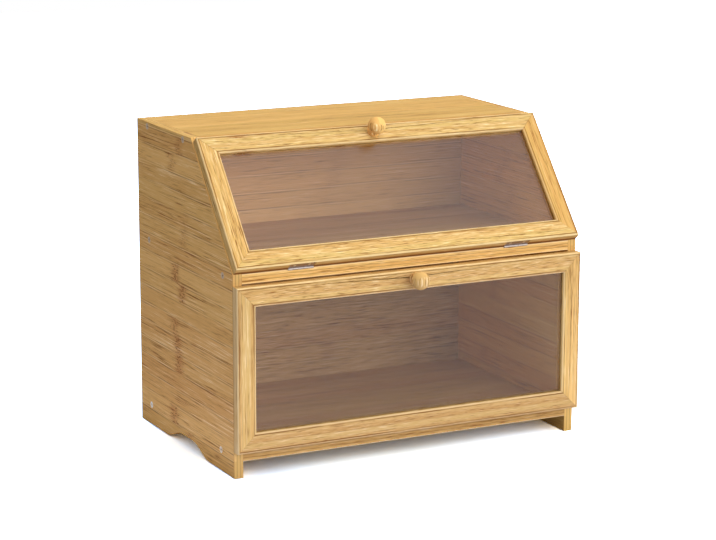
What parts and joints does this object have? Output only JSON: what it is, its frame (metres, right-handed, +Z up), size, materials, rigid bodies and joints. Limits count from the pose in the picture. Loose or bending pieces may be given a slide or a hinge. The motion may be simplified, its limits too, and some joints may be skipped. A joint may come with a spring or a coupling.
{
  "type": "bread box with drawer",
  "caption": "Wooden bread box with a sloping glazed door above a full-width glazed drawer, round knobs, and side panels that stand on arched feet.",
  "frame": {"origin": "middle of the outline on the surface that the box stands on", "axes": "+Z up, +X to the right seen from the front, -Y out of the front"},
  "size_m": [0.39, 0.2744, 0.3373],
  "materials": {
    "bamboo_cabinet": "satin lacquered laminated bamboo",
    "bamboo_frame": "satin lacquered laminated bamboo",
    "bamboo_drawer": "satin laminated bamboo",
    "bamboo_knob": "turned, satin lacquered",
    "dowel_wood": "plain",
    "clear_pane": "clear acrylic, polished",
    "hinge_steel": "zinc plated",
    "screw_steel": "zinc plated"
  },
  "bodies": {
    "carcass": {"side_panel_left": "bamboo_cabinet", "side_panel_right": "bamboo_cabinet", "top_board": "bamboo_cabinet", "shelf_board": "bamboo_cabinet", "bottom_board": "bamboo_cabinet", "back_panel": "bamboo_cabinet", "carcass_screws": "screw_steel", "hinge_leaf_fixed_left": "hinge_steel", "hinge_leaf_fixed_right": "hinge_steel", "hinge_pin_left": "hinge_steel", "hinge_pin_right": "hinge_steel", "hinge_screws_fixed": "screw_steel"},
    "upper_door": {"upper_rail_bottom": "bamboo_frame", "upper_rail_top": "bamboo_frame", "upper_stile_left": "bamboo_frame", "upper_stile_right": "bamboo_frame", "upper_pane": "clear_pane", "upper_knob": "bamboo_knob", "upper_knob_screw": "screw_steel", "hinge_leaf_door_left": "hinge_steel", "hinge_leaf_door_right": "hinge_steel", "hinge_screws_door": "screw_steel"},
    "drawer": {"drawer_rail_bottom": "bamboo_frame", "drawer_rail_top": "bamboo_frame", "drawer_stile_left": "bamboo_frame", "drawer_stile_right": "bamboo_frame", "drawer_pane": "clear_pane", "drawer_knob": "bamboo_knob", "drawer_knob_screw": "screw_steel", "drawer_side_left": "bamboo_drawer", "drawer_side_right": "bamboo_drawer", "drawer_back": "bamboo_drawer", "drawer_bottom": "bamboo_drawer", "drawer_dowels": "dowel_wood", "drawer_screws": "screw_steel"}
  },
  "joints": [
    {"name": "upper_door_hinge", "type": "hinge", "parent": "carcass", "child": "upper_door", "pos_m": [0, -0.10795, 0.2062], "axis": [1, 0, 0], "range_deg": [0, 130]},
    {"name": "drawer_slide", "type": "slide", "parent": "carcass", "child": "drawer", "axis": [0, -1, 0], "range_m": [0, 0.17]}
  ]
}
